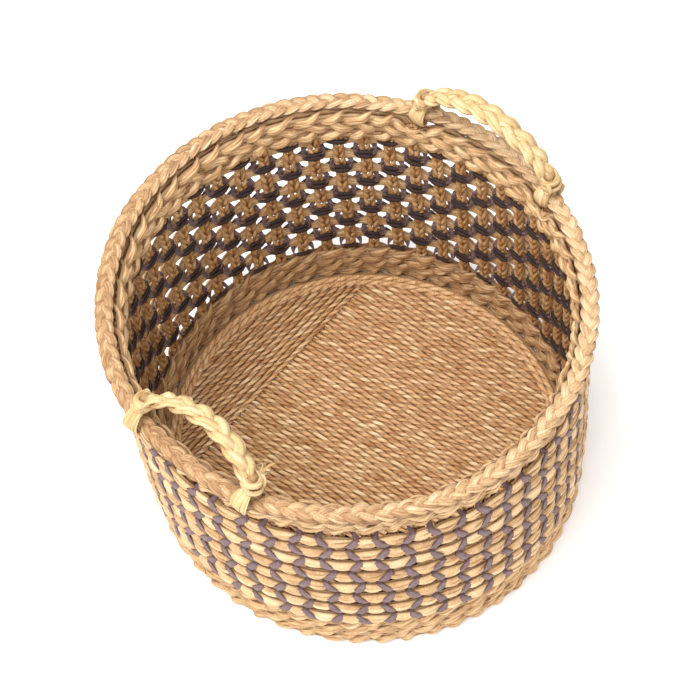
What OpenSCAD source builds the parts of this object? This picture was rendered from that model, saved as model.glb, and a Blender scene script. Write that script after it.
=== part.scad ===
// Round storage basket woven from seagrass: twined straw wall on upright cords,
// an openwork middle laced with dyed ribbons, a plaited rim, a woven mat base
// and two plaited carrying handles that swing on their tails round the rim.
// Millimetres, +Z up. Origin: middle of the base mat's underside, on the floor.
// +X runs from the left handle to the right handle.

/* [Wall] */
// Height of the rim plait's centreline above the floor
rim_z = 262; // [200:1:320]
// Radius of the rim plait's centreline
rim_r = 200; // [150:1:240]
// Radius on which the upright cords stand
stake_r = 192.5; // [150:0.5:240]
// Sideways offset of the rim from the base, along X
lean_x = -11.5; // [-25:0.1:25]
// Sideways offset of the rim from the base, along Y
lean_y = 14.4; // [-25:0.1:25]

/* [Upright cords] */
// Number of upright cord pairs (even, so the lacing closes on itself)
stake_count = 54; // [36:2:72]
// Radius of one upright cord
cord_r = 2.05; // [1.5:0.05:3]
// Direction in which the first pair stands, in degrees
stake_phase = 5.8; // [0:0.1:13]
// How far the hand spacing of the pairs drifts round the wall, in degrees
spacing_drift = 3.5; // [0:0.1:4]
// Direction from which the drift is counted, in degrees
drift_azimuth = 26; // [0:1:360]
// Height of the lower ends of the cords
stake_bottom_z = 2; // [1:0.5:6]
// Height of the upper ends of the cords
stake_top_z = 248; // [200:1:260]

/* [Laced middle] */
// Number of straw rows in the openwork middle
straw_count = 8; // [4:1:10]
// Height of the highest lacing gap
zone_top_z = 219.5; // [180:0.5:230]
// Height of the lowest lacing gap
zone_bottom_z = 45.5; // [40:0.5:80]
// Height of one straw row
straw_h = 11; // [8:0.5:14]
// Thickness of one straw row
straw_t = 4; // [3:0.5:6]
// Width of a ribbon where it crosses a straw row
ribbon_w = 5.2; // [4:0.2:7]
// Width of a ribbon where it lies behind an upright pair
ribbon_inner_w = 4; // [3:0.2:5]
// Thickness of a ribbon
ribbon_t = 0.6; // [0.4:0.1:1]

/* [Twined bands] */
// Twined rows in the band under the rim
top_rows = 3; // [2:1:4]
// Height of the lowest twined row's middle in the band under the rim
top_band_z = 227.8; // [200:0.1:240]
// Spacing of the twined rows under the rim
top_row_pitch = 11.1; // [9:0.1:13]
// Twined rows in the band above the base
bottom_rows = 4; // [2:1:4]
// Spacing of the twined rows above the base
bottom_row_pitch = 10.3; // [9:0.1:13]
// Thickness of one strand of a twined row
twine_t = 6.1; // [4:0.1:8]

/* [Rim plait] */
// Radius of one of the three strands of the rim plait
rim_strand_r = 3.3; // [2.5:0.1:4]
// Distance of each strand from the plait's centreline
rim_strand_offset = 3.9; // [3:0.1:5]

/* [Base mat] */
// Radius covered by the straight rows of the mat
mat_r = 171.8; // [130:0.2:200]
// Spacing of the rows
mat_pitch = 5.6; // [4:0.1:8]
// Width of one row
mat_row_w = 5.2; // [3.5:0.1:7.5]
// Height of the flattened lower part of a row
mat_flat_h = 3; // [1:0.1:4]
// Distance of the mat's seam from the middle of the base
seam_y = 113; // [80:1:140]

/* [Handles] */
// Half the angle that the right handle spans on the rim
right_half_span = 19.6; // [12:0.1:25]
// Half the angle that the left handle spans on the rim
left_half_span = 16.5; // [12:0.1:25]
// Height of the right handle's middle above its hinge line
right_apex = 54; // [50:1:70]
// Height of the left handle's middle above its hinge line
left_apex = 46; // [42:1:70]
// Outward lean of the right handle at rest, in degrees
right_lean = 0; // [-60:1:75]
// Outward lean of the left handle at rest, in degrees
left_lean = -22; // [-60:1:75]
// Radius of one of the three strands of a handle plait
grip_strand_r = 4.2; // [3:0.1:5]
// Distance of each strand from the handle's centreline
grip_strand_offset = 5; // [4:0.1:6]
// Radius of a knot
knot_r = 8.2; // [6:0.1:10]
// Height of a knot's middle above the hinge line
knot_height = 16.5; // [12:0.5:20]
// Inner radius of the tails' loop round the rim
tail_inner_r = 10; // [9.5:0.1:12]
// Thickness of a tail
tail_t = 2.4; // [1.5:0.1:3]
// Width of a tail
tail_w = 9; // [6:0.5:10]

/* [Hidden] */
$fn = 96;
lean = [lean_x, lean_y];
stake_pitch = 360 / stake_count;
gap_pitch = (zone_top_z - zone_bottom_z) / straw_count;
cord_spread = cord_r + 0.1;
clearance = 0.55;
inner_twine_r = stake_r - cord_r - clearance - twine_t / 2;
outer_twine_r = stake_r + cord_r + clearance + twine_t / 2;
straw_r = stake_r + cord_r + clearance + straw_t / 2;
twine_gap = 0.25;
bottom_twine_h = bottom_row_pitch - twine_gap;
top_twine_h = top_row_pitch - twine_gap;

// Lacing path, as distances along the wall from the middle of a pair
ribbon_inner_r = stake_r - cord_r - 1.25;
ribbon_outer_r = straw_r + straw_t / 2 + 1.3;
ribbon_inner_reach = 5.2;
ribbon_outer_reach = 8.2;
ribbon_stack = 2.4;
ribbon_tilt = [0.65, 0.75];
ribbon_sections = 4;
section_corners = [[-1, -1], [1, -1], [1, 1], [-1, 1]];

tail_outer_r = tail_inner_r + tail_t;
tail_notch_r = tail_outer_r + 0.8;
tail_notch_w = tail_w + 3;
tail_split = 2;
knot_clearance = 0.4;
tuft_r = 3;
tuft_end_r = 7;
tuft_length = 24;
tuft_pitch = 12;
tuft_turn = 40;
far = 20;

// The two handles as [direction on the rim, half span, apex, rest lean]
right_handle = [0, right_half_span, right_apex, right_lean];
left_handle = [180, left_half_span, left_apex, left_lean];

// ---- Helpers ---------------------------------------------------------------

// Middle of the leaning wall at a height
function wall_centre(z) = lean * z / rim_z;

// Direction of an upright pair, with the drift of its hand spacing
function stake_angle(i) =
    let (even = stake_phase + i * stake_pitch)
    even - spacing_drift * cos(even - drift_azimuth);

function gap_z(gap) = zone_top_z - (gap - 1) * gap_pitch;

function unit(v) = v / norm(v);
function left_of(v) = [-v.y, v.x];

// Side direction of a bent strip at a corner, long enough to keep its thickness
function mitre(before, after) =
    let (
        side = left_of(unit(before)),
        middle = unit(side + left_of(unit(after)))
    )
    middle / (middle * side);

function arc_degrees(distance, radius) = distance / radius * 180 / PI;

// Section with straight sides and round ends
module stadium(width, height) {
    square([width, height - width], center = true);
    for (end = [-1, 1]) {
        translate([0, end * (height - width) / 2])
            circle(d = width);
    }
}

// Ring of the wall at a height, swept from a section
module wall_ring(z, radius) {
    translate([wall_centre(z).x, wall_centre(z).y, z])
        rotate_extrude()
            translate([radius, 0])
                children();
}

// ---- Base mat --------------------------------------------------------------

// Section of a woven row, flattened where it lies on the floor
module mat_section() {
    translate([-mat_row_w / 2, 0])
        square([mat_row_w, mat_flat_h]);
    translate([0, mat_flat_h])
        circle(d = mat_row_w);
}

// Straight row along Y at x = 0, between two ends
module mat_row(start, end) {
    translate([0, end, 0])
        rotate([90, 0, 0])
            linear_extrude(end - start)
                intersection() {
                    mat_section();
                    translate([-mat_row_w, 0])
                        square([2 * mat_row_w, far]);
                }
}

// Half length of a row that keeps both its corners inside the mat's circle
function row_reach(offset) =
    sqrt(pow(mat_r, 2) - pow(abs(offset) + mat_row_w / 2, 2));

module base_mat_rows() {
    color("peru") {
        rows = floor((mat_r - mat_row_w / 2) / mat_pitch);
        seam_end = seam_y - mat_pitch / 2 - (mat_pitch - mat_row_w) / 2;
        for (i = [-rows : rows]) {
            reach = row_reach(i * mat_pitch);
            translate([i * mat_pitch, 0, 0])
                mat_row(-reach, min(reach, seam_end));
        }
    }
}

module base_side_rows() {
    color("tan") {
        rows = floor((mat_r - seam_y - mat_row_w / 2) / mat_pitch);
        for (i = [0 : rows]) {
            offset = seam_y + i * mat_pitch;
            translate([0, offset, 0])
                rotate([0, 0, -90])
                    mat_row(-row_reach(offset), row_reach(offset));
        }
    }
}

// Rounds that close the mat against the wall, counted from the mat outwards
module base_round(index) {
    color("tan")
        rotate_extrude()
            translate([mat_r + (index - 0.5) * mat_pitch + clearance, 0])
                intersection() {
                    mat_section();
                    translate([-mat_row_w, 0])
                        square([2 * mat_row_w, far]);
                }
}

// ---- Upright cords ---------------------------------------------------------

// One cord of every upright pair; side is -1 or 1
module stake_cords(side) {
    height = stake_top_z - stake_bottom_z;
    foot = wall_centre(stake_bottom_z);
    tilt = atan(norm(lean) / rim_z);
    color(side < 0 ? "sienna" : "chocolate")
        for (i = [0 : stake_count - 1]) {
            angle = stake_angle(i);
            position = foot + stake_r * [cos(angle), sin(angle)]
                + side * cord_spread * [-sin(angle), cos(angle)];
            translate([position.x, position.y, stake_bottom_z])
                rotate(a = tilt, v = [-lean.y, lean.x, 0])
                    cylinder(r = cord_r, h = height);
        }
}

// ---- Twined bands ----------------------------------------------------------

module bottom_strand(row, radius) {
    color("wheat")
        wall_ring((row - 0.5) * bottom_row_pitch + twine_gap, radius)
            stadium(twine_t, bottom_twine_h);
}

// Room that the tails of one handle take under the rim plait
module tail_notches(handle) {
    at_handle(handle)
        for (end = [-1, 1]) {
            translate([end * handle_reach(handle), 0, 0])
                rotate([0, 90, 0])
                    cylinder(r = tail_notch_r, h = tail_notch_w, center = true);
        }
}

module top_strand(row, radius) {
    color("wheat")
        difference() {
            wall_ring(top_band_z + (row - 1) * top_row_pitch, radius)
                stadium(twine_t, top_twine_h);
            if (row == top_rows) {
                tail_notches(right_handle);
                tail_notches(left_handle);
            }
        }
}

// ---- Laced middle ----------------------------------------------------------

// Row 1 is the highest
module straw_row(row) {
    color("burlywood")
        wall_ring((gap_z(row) + gap_z(row + 1)) / 2, straw_r)
            stadium(straw_t, straw_h);
}

// A ribbon runs above its row at every second pair and below it at the others
function ribbon_gap(row, i) = row + (i + row + 1) % 2;

// Height of a ribbon at a pair; two ribbons share each gap, one above the other
function ribbon_z(row, i) =
    let (gap = ribbon_gap(row, i))
    gap_z(gap) + (gap == row ? -ribbon_stack : ribbon_stack);

function wall_point(radius, angle, z) =
    let (centre = wall_centre(z))
    [centre.x + radius * cos(angle), centre.y + radius * sin(angle), z];

// Corners of the lacing path: in behind a pair, out again, and on to the next
function ribbon_path(row) =
    let (
        inner = arc_degrees(ribbon_inner_reach, ribbon_inner_r),
        outer = arc_degrees(ribbon_outer_reach, ribbon_outer_r)
    )
    [
        for (i = [0 : stake_count - 1])
            let (angle = stake_angle(i), z = ribbon_z(row, i))
            each [
                wall_point(ribbon_outer_r, angle - outer, z),
                wall_point(ribbon_inner_r, angle - inner, z),
                wall_point(ribbon_inner_r, angle + inner, z),
                wall_point(ribbon_outer_r, angle + outer, z)
            ]
    ];

// Half width of the ribbon at each corner of its path: upright behind a pair,
// turned towards the slanted crossing outside the wall
function ribbon_half_width(row, i, corner) =
    let (
        angle = stake_angle(i),
        along = [-sin(angle), cos(angle)],
        drop = ribbon_gap(row, i) == row ? 1 : -1,
        turn = (corner == 0 ? -1 : 1) * drop * ribbon_tilt.x
    )
    corner == 1 || corner == 2
        ? [0, 0, ribbon_inner_w / 2]
        : ribbon_w / 2 * [along.x * turn, along.y * turn, ribbon_tilt.y];

module lacing_ribbon(row) {
    path = ribbon_path(row);
    count = len(path);
    points = [
        for (n = [0 : count - 1])
            let (
                before = path[n] - path[(n + count - 1) % count],
                after = path[(n + 1) % count] - path[n],
                side = mitre([before.x, before.y], [after.x, after.y]) * ribbon_t / 2,
                width = ribbon_half_width(row, floor(n / ribbon_sections), n % ribbon_sections)
            )
            for (corner = section_corners)
                path[n] + corner.x * [side.x, side.y, 0] + corner.y * width
    ];
    corners = len(section_corners);
    // Opposite sides are cut along the same diagonal, so they stay apart at a twist
    faces = [
        for (n = [0 : count - 1])
            for (c = [0 : corners - 1])
                let (
                    next = (n + 1) % count,
                    a = n * corners + c,
                    b = n * corners + (c + 1) % corners,
                    d = next * corners + c,
                    e = next * corners + (c + 1) % corners
                )
                each c < corners / 2
                    ? [[a, d, b], [b, d, e]]
                    : [[a, d, e], [a, e, b]]
    ];
    color("slategray")
        polyhedron(points = points, faces = faces);
}

// ---- Rim plait -------------------------------------------------------------

// One of the three strands, by its direction from the plait's centreline
module rim_strand(direction) {
    color("bisque")
        wall_ring(rim_z, rim_r)
            translate(rim_strand_offset * [cos(direction), sin(direction)])
                circle(r = rim_strand_r);
}

// ---- Handles ---------------------------------------------------------------

// Half the distance between a handle's two ends, along its hinge line
function handle_reach(handle) = rim_r * sin(handle[1]);

// Handle's own plane: X along the hinge line, Y up the handle, Z outwards
module at_handle(handle) {
    translate([lean.x, lean.y, rim_z])
        rotate([0, 0, handle[0]])
            translate([rim_r * cos(handle[1]), 0, 0])
                rotate([0, handle[3], 0])
                    rotate([90, 0, 90])
                        children();
}

// Strand of the grip: an arc through both knots and the top of the handle
module grip_strand(handle, direction) {
    reach = handle_reach(handle);
    rise = handle[2] - knot_height;
    arc_r = (pow(reach, 2) + pow(rise, 2)) / (2 * rise);
    centre_y = handle[2] - arc_r;
    knot_angle = atan2(knot_height - centre_y, reach);
    start = knot_angle + asin((knot_r + knot_clearance) / arc_r);
    up = grip_strand_offset * sin(direction);
    out = grip_strand_offset * cos(direction);
    color("khaki")
        at_handle(handle)
            translate([0, centre_y, out])
                rotate([0, 0, start])
                    rotate_extrude(angle = 180 - 2 * start)
                        translate([arc_r + up, 0])
                            circle(r = grip_strand_r);
}

// Knot on top of the rim; end is -1 or 1
module handle_knot(handle, end) {
    color("gold")
        at_handle(handle)
            translate([end * handle_reach(handle), 0, 0])
                rotate([-90, 0, 0])
                    rotate_extrude()
                        intersection() {
                            translate([0, knot_height])
                                circle(r = knot_r);
                            translate([0, tail_outer_r + knot_clearance])
                                square(far);
                        }
}

// Flat tails that pass round the rim on one side, at both ends of the handle
module handle_tails(handle, side) {
    color("goldenrod")
        at_handle(handle)
            for (end = [-1, 1]) {
                translate([end * handle_reach(handle) - tail_w / 2, 0, 0])
                    rotate([0, 90, 0])
                        rotate([0, 0, side * 90 - 90 + tail_split])
                            rotate_extrude(angle = 180 - 2 * tail_split)
                                translate([tail_inner_r, 0])
                                    square([tail_t, tail_w]);
            }
}

// Loose end of the plait, brushed out beside its knot
module frayed_end(handle) {
    color("khaki")
        at_handle(handle)
            difference() {
                translate([handle_reach(handle), knot_height, 0])
                    rotate([0, 180 - tuft_turn, 0])
                        rotate([-tuft_pitch, 0, 0])
                            cylinder(r1 = tuft_r, r2 = tuft_end_r, h = tuft_length);
                translate([handle_reach(handle), knot_height, 0])
                    sphere(r = knot_r + knot_clearance);
            }
}

// ---- Nodes -----------------------------------------------------------------

base_mat_rows();
base_side_rows();
base_round(1);  // base_round_inner
base_round(2);  // base_round_outer
stake_cords(-1);  // stake_cords_left
stake_cords(1);  // stake_cords_right

for (row = [1 : bottom_rows]) {
    bottom_strand(row, inner_twine_r);
    bottom_strand(row, outer_twine_r);
}
for (row = [1 : straw_count]) {
    straw_row(row);
    lacing_ribbon(row);
}
for (row = [1 : top_rows]) {
    top_strand(row, inner_twine_r);
    top_strand(row, outer_twine_r);
}

rim_strand(90);  // rim_plait_top_strand
rim_strand(210);  // rim_plait_inner_strand
rim_strand(330);  // rim_plait_outer_strand

grip_strand(right_handle, 90);  // right_handle_upper_strand
grip_strand(right_handle, 210);  // right_handle_inner_strand
grip_strand(right_handle, 330);  // right_handle_outer_strand
handle_knot(right_handle, -1);  // right_handle_knot_1
handle_knot(right_handle, 1);  // right_handle_knot_2
handle_tails(right_handle, -1);  // right_handle_inner_tails
handle_tails(right_handle, 1);  // right_handle_outer_tails

grip_strand(left_handle, 90);  // left_handle_upper_strand
grip_strand(left_handle, 210);  // left_handle_inner_strand
grip_strand(left_handle, 330);  // left_handle_outer_strand
handle_knot(left_handle, -1);  // left_handle_knot_1
handle_knot(left_handle, 1);  // left_handle_knot_2
handle_tails(left_handle, -1);  // left_handle_inner_tails
handle_tails(left_handle, 1);  // left_handle_outer_tails
frayed_end(left_handle);  // left_handle_frayed_end
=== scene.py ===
"""Woven seagrass storage basket: every leaf, cord, ribbon and plait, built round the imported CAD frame.

Shapes are worked out in millimetres in the CAD frame and turned into metres when a mesh is made.
A place on the wall is given by u, which counts upright pairs round the basket, a height and a radius.
"""

import math

import bpy
import numpy as np
from mathutils import Matrix, Vector


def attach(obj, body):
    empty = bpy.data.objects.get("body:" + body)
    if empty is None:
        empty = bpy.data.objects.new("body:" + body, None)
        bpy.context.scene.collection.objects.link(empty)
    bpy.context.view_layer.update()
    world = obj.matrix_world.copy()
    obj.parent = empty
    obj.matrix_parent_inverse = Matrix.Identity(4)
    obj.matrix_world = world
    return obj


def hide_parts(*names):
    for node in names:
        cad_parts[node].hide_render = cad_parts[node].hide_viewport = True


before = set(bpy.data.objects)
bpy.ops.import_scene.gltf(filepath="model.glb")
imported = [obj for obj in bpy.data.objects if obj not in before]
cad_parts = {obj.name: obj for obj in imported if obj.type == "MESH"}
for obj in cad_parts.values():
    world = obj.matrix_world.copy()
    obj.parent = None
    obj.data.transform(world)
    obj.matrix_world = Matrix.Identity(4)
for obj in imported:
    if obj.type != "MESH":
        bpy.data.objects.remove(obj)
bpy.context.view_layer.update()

MM = 0.001
TAU = 2 * math.pi

# Wall, in millimetres and degrees, as in the CAD
RIM_Z = 262.0
RIM_R = 200.0
STAKE_R = 192.5
# Shift of the rim from over the middle of the base
LEAN = np.array([-11.5, 14.4])
STAKES = 54
# Length along the wall from one pair to the next
STAKE_PITCH = 22.4
STAKE_PHASE = 5.8
SPACING_DRIFT = 3.5
DRIFT_AZIMUTH = 26.0
STAKE_BOTTOM_Z = 2.5
STAKE_TOP_Z = 247.5

# Laced middle
STRAW_ROWS = 8
GAP_TOP_Z = 219.5
GAP_PITCH = 21.75

# Twined bands: name, number of rows, middle of the lowest row, pitch
BANDS = {"bottom": (4, 5.4, 10.3), "top": (3, 227.8, 11.1)}

# Base mat
MAT_R = 171.8
MAT_PITCH = 5.6
MAT_ROW_W = 5.2
MAT_Z = 2.8
SEAM_Y = 113.0

BODY = "basket"
UP = np.array([0.0, 0.0, 1.0])

# Random seeds of the pieces. Where several pieces share one, their number is added to it.
SEEDS = {
    "mat_left": 11,
    "mat_right": 12,
    "side_rows": 13,
    "rounds": 14,
    "cords": 20,
    "straw": 40,
    "ribbons": 60,
    "bottom_band": 100,
    "top_band": 150,
    "rim": 200,
    "rim_height": 7,
    "rim_radius": 8,
    "frayed_end": 600,
    "pair_meander": 700,
    "row_jitter": 900,
}


# ---- Vectors and paths ------------------------------------------------------


def unit(v):
    """v, or each row of it, at length 1."""
    return v / np.maximum(np.linalg.norm(v, axis=-1, keepdims=True), 1e-9)


def stake_angle(u):
    """Direction of an upright pair, in radians, with the drift of its hand spacing."""
    even = STAKE_PHASE + np.asarray(u, float) * 360 / STAKES
    return np.radians(even - SPACING_DRIFT * np.cos(np.radians(even - DRIFT_AZIMUTH)))


def wall_path(u, z, radius):
    """Points on the leaning wall, and the outward direction at each."""
    angle = stake_angle(u)
    z = np.broadcast_to(np.asarray(z, float), angle.shape)
    centre = LEAN * z[:, None] / RIM_Z
    outward = np.stack([np.cos(angle), np.sin(angle), np.zeros_like(angle)], -1)
    path = outward * np.broadcast_to(radius, angle.shape)[:, None]
    path[:, :2] += centre
    path[:, 2] = z
    return path, outward


def round_the_wall(steps):
    """u at evenly spaced places round the wall, with the first not repeated."""
    return np.arange(STAKES * steps) / steps


def wander(t, rng, size, slow=2, fast=60, terms=7):
    """A smooth random drift that closes on itself as t runs from 0 to 1."""
    total = np.zeros_like(t)
    for _ in range(terms):
        total += np.sin(TAU * (rng.integers(slow, fast) * t + rng.random()))
    return size * total / math.sqrt(terms)


def across(path, outward, roll=0.0, closed=False):
    """Sideways direction of a leaf that faces outward, turned about its own length by roll radians."""
    ahead = unit(tangents(path, closed))
    side = unit(np.cross(outward, ahead))
    face = np.cross(ahead, side)
    roll = np.broadcast_to(roll, len(path))[:, None]
    return side * np.cos(roll) + face * np.sin(roll)


def tangents(path, closed):
    """Direction of travel at each point of a path."""
    if closed:
        return np.roll(path, -1, 0) - np.roll(path, 1, 0)
    return np.gradient(path, axis=0)


def loop_spline(keys, samples, period, slack):
    """Smooth closed curve through the rows of keys, whose first column grows by period in one turn.

    slack is 1 for the roundest corners and 0 for straight lines from key to key.
    """
    turn = np.zeros(keys.shape[1])
    turn[0] = period
    padded = np.concatenate([keys[-1:] - turn, keys, keys[:2] + turn])
    a, b, c, d = padded[:-3, None], padded[1:-2, None], padded[2:-1, None], padded[3:, None]
    t = (np.arange(samples) / samples)[None, :, None]
    ease = t * t * (3 - 2 * t)
    from_b = (c - a) / 2 * slack * (t - 2 * t**2 + t**3)
    from_c = (d - b) / 2 * slack * (t**3 - t**2)
    straight = b + (c - b) * (ease * slack + t * (1 - slack))
    return (straight + from_b + from_c).reshape(-1, keys.shape[1])


# ---- Leaves gathered into meshes ---------------------------------------------

# Leaves are pressed flat at this height, just above the floor
RESTING_Z = 0.1
# A leaf's fibres start anywhere in this length, so that no two leaves look the same
FIBRE_START = 900

# Sections of a leaf, in half widths and half thicknesses
FLAT = np.array(
    [[1, 0], [0.8, 0.75], [0, 1], [-0.8, 0.75], [-1, 0], [-0.8, -0.75], [0, -1], [0.8, -0.75]]
)
STRIP = np.array(
    [[1, 0], [0.96, 1], [0, 1], [-0.96, 1], [-1, 0], [-0.96, -1], [0, -1], [0.96, -1]]
)
ROUND = np.array([[1, 0], [0.5, 0.87], [-0.5, 0.87], [-1, 0], [-0.5, -0.87], [0.5, -0.87]])


class Sheaf:
    """Leaves and cords swept along paths and gathered into one mesh.

    Two attributes go with every point: "fibre" is the distance along the leaf and across its
    section, and "leaf" is the leaf's own shade, how near its edge the point lies, and how much painted
    shade it takes where it lies deep in the weave.
    """

    def __init__(self, seed):
        self.rng = np.random.default_rng(seed)
        self.points = []
        self.faces = []
        self.fibre = []
        self.leaf = []
        self.count = 0

    def add(self, path, side, width, thick, closed=False, section=FLAT, depth=0.0, shade=None):
        """Sweeps a section along path. side is its width's direction; sizes may vary along the path."""
        rings, corners = len(path), len(section)
        ahead = unit(tangents(path, closed))
        side = unit(side - ahead * np.sum(side * ahead, -1, keepdims=True))
        face = np.cross(ahead, side)
        half_w = np.broadcast_to(width, rings)[:, None] / 2 * section[None, :, 0]
        half_t = np.broadcast_to(thick, rings)[:, None] / 2 * section[None, :, 1]
        points = path[:, None] + side[:, None] * half_w[..., None] + face[:, None] * half_t[..., None]
        points[..., 2] = np.maximum(points[..., 2], RESTING_Z)
        steps = np.linalg.norm(np.diff(path, axis=0), axis=1)
        along = np.concatenate([[0], np.cumsum(steps)]) + self.rng.random() * FIBRE_START
        along = np.broadcast_to(along[:, None], half_w.shape)
        if shade is None:
            shade = self.rng.random()
        edge = np.broadcast_to(np.abs(section[None, :, 0]), half_w.shape)
        # Painted shade that each point takes where the leaf lies deep in the weave
        painted_shade_points = np.broadcast_to(np.broadcast_to(depth, rings)[:, None], half_w.shape)
        own = np.broadcast_to(np.broadcast_to(shade, rings)[:, None], half_w.shape)
        self.points.append(points.reshape(-1, 3))
        self.fibre.append(np.stack([along, half_w, half_t], -1).reshape(-1, 3))
        self.leaf.append(np.stack([own, edge, painted_shade_points], -1).reshape(-1, 3))
        self.join_rings(rings, corners, closed)
        self.count += rings * corners

    def join_rings(self, rings, corners, closed):
        """Faces between the rings, and a cap on each end of an open leaf."""
        index = self.count + np.arange(rings * corners).reshape(rings, corners)
        here = index if closed else index[:-1]
        ahead = np.roll(index, -1, 0) if closed else index[1:]
        sides = [here, np.roll(here, -1, 1), np.roll(ahead, -1, 1), ahead]
        self.faces.append(np.stack(sides, -1).reshape(-1, 4))
        if not closed:
            for j in range(corners // 2 - 1):
                strip = np.array([j, j + 1, corners - 2 - j, corners - 1 - j])
                self.faces.append(index[-1][strip][None])
                self.faces.append(index[0][strip[::-1]][None])

    def build(self, name, material, body, *nodes):
        """Makes the mesh object, which rides on body and stands for the named CAD nodes."""
        points = np.concatenate(self.points) * MM
        faces = np.concatenate(self.faces)
        mesh = bpy.data.meshes.new(name)
        mesh.vertices.add(len(points))
        mesh.vertices.foreach_set("co", points.astype(np.float32).ravel())
        mesh.loops.add(faces.size)
        mesh.loops.foreach_set("vertex_index", faces.astype(np.int32).ravel())
        mesh.polygons.add(len(faces))
        mesh.polygons.foreach_set("loop_start", np.arange(0, faces.size, 4, dtype=np.int32))
        mesh.update(calc_edges=True)
        mesh.shade_smooth()
        for label, rows in (("fibre", self.fibre), ("leaf", self.leaf)):
            attribute = mesh.attributes.new(label, "FLOAT_VECTOR", "POINT")
            attribute.data.foreach_set("vector", np.concatenate(rows).astype(np.float32).ravel())
        mesh.materials.append(MATERIALS[material])
        piece = bpy.data.objects.new(name, mesh)
        bpy.context.scene.collection.objects.link(piece)
        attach(piece, body)
        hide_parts(*nodes)
        return piece


# ---- Materials ---------------------------------------------------------------


def srgb(red, green, blue):
    """Linear colour of an sRGB colour given from 0 to 255."""
    linear = []
    for value in (red / 255, green / 255, blue / 255):
        linear.append(value / 12.92 if value <= 0.04045 else ((value + 0.055) / 1.055) ** 2.4)
    return (*linear, 1.0)


class Nodes:
    """Short calls for building a material's node tree. Each one returns the new node's output."""

    def __init__(self, name):
        self.material = bpy.data.materials.new(name)
        self.material.use_nodes = True
        self.tree = self.material.node_tree
        self.shader = self.tree.nodes["Principled BSDF"]

    def set(self, socket, value):
        if isinstance(value, bpy.types.NodeSocket):
            self.tree.links.new(value, socket)
        else:
            socket.default_value = value

    def attribute(self, name):
        node = self.tree.nodes.new("ShaderNodeAttribute")
        node.attribute_name = name
        parts = self.tree.nodes.new("ShaderNodeSeparateXYZ")
        self.tree.links.new(node.outputs["Vector"], parts.inputs[0])
        return parts.outputs["X"], parts.outputs["Y"], parts.outputs["Z"]

    def math(self, operation, a, b=0.0, clamp=False):
        node = self.tree.nodes.new("ShaderNodeMath")
        node.operation = operation
        node.use_clamp = clamp
        self.set(node.inputs[0], a)
        self.set(node.inputs[1], b)
        return node.outputs[0]

    def vector(self, x, y, z):
        node = self.tree.nodes.new("ShaderNodeCombineXYZ")
        for socket, value in zip(node.inputs, (x, y, z)):
            self.set(socket, value)
        return node.outputs[0]

    def noise(self, vector, scale=1.0, detail=2.0, roughness=0.5):
        node = self.tree.nodes.new("ShaderNodeTexNoise")
        self.set(node.inputs["Vector"], vector)
        node.inputs["Scale"].default_value = scale
        node.inputs["Detail"].default_value = detail
        node.inputs["Roughness"].default_value = roughness
        return node.outputs["Fac"]

    def span(self, value, low, high, out_low=0.0, out_high=1.0):
        node = self.tree.nodes.new("ShaderNodeMapRange")
        self.set(node.inputs["Value"], value)
        node.inputs["From Min"].default_value = low
        node.inputs["From Max"].default_value = high
        node.inputs["To Min"].default_value = out_low
        node.inputs["To Max"].default_value = out_high
        return node.outputs["Result"]

    def ramp(self, value, colours):
        node = self.tree.nodes.new("ShaderNodeValToRGB")
        self.set(node.inputs[0], value)
        elements = node.color_ramp.elements
        while len(elements) < len(colours):
            elements.new(0.5)
        for i, colour in enumerate(colours):
            elements[i].position = i / (len(colours) - 1)
            elements[i].color = colour
        return node.outputs["Color"]

    def mix(self, amount, a, b, blend="MIX"):
        node = self.tree.nodes.new("ShaderNodeMix")
        node.data_type = "RGBA"
        node.blend_type = blend
        self.set(node.inputs["Factor"], amount)
        self.set(node.inputs["A"], a)
        self.set(node.inputs["B"], b)
        return node.outputs["Result"]

    def bump(self, height, strength, distance):
        node = self.tree.nodes.new("ShaderNodeBump")
        node.inputs["Strength"].default_value = strength
        node.inputs["Distance"].default_value = distance
        self.set(node.inputs["Height"], height)
        return node.outputs["Normal"]


# How fast the fibres and the blotches change along a leaf and across it, per millimetre
FIBRE_SCALE = (0.045, 2.6)
BLOTCH_SCALE = (0.05, 0.28)
# How much faster the fibres change through a leaf's thickness than across its width
SIDE_STRETCH = 1.7
# Spreads the leaves' own shades far apart, so that no two leaves share a pattern
PATTERN_SPREAD = 57.0
# Part of a noise's range that holds nearly all of it
NOISE_SPAN = (0.3, 0.7)
# How sharply the painted shade gathers at a leaf's edges, where leaves meet
EDGE_SHADE_POWER = 5.0


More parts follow.
